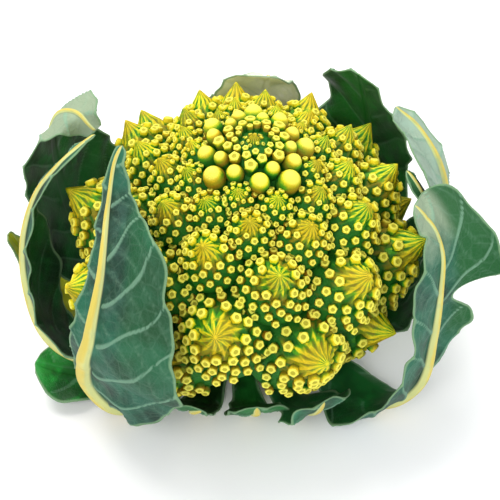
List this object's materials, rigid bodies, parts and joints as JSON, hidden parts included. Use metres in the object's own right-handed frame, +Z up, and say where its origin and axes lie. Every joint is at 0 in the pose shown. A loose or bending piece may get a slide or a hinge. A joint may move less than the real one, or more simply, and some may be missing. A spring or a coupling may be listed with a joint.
{
  "type": "romanesco head",
  "caption": "Romanesco head standing on its cut stem: spiral, pointed yellow-green florets wrapped by wavy blue-green leaves with pale ribs.",
  "frame": {"origin": "centre of the stem's flat cut face, which the head stands on", "axes": "+Z up along the stem, -Y towards the side that the picture shows, +X to the right seen from there"},
  "size_m": [0.239, 0.1903, 0.1501],
  "materials": {
    "curd": "matt, yellow-green with pale tips and deep green gaps",
    "leaf_outer": "waxy blue-green outer leaf face with pale ribs",
    "leaf_inner": "darker green leaf, satin",
    "leaf_pale": "pale cream-green leaf, satin",
    "stem": "pale green, moist cut face"
  },
  "bodies": {
    "root": {"stem": "stem", "curd": "curd", "leaf_front_left": "leaf_outer", "leaf_left": "leaf_outer", "leaf_left_tip": "leaf_outer", "leaf_left_low": "leaf_inner", "leaf_back_left": "leaf_outer", "leaf_back": "leaf_pale", "leaf_back_right": "leaf_inner", "leaf_right_back": "leaf_outer", "leaf_right_small": "leaf_inner", "leaf_right": "leaf_outer", "leaf_front_right": "leaf_outer", "leaf_front": "leaf_inner", "leaf_front_small": "leaf_inner"}
  },
  "joints": []
}
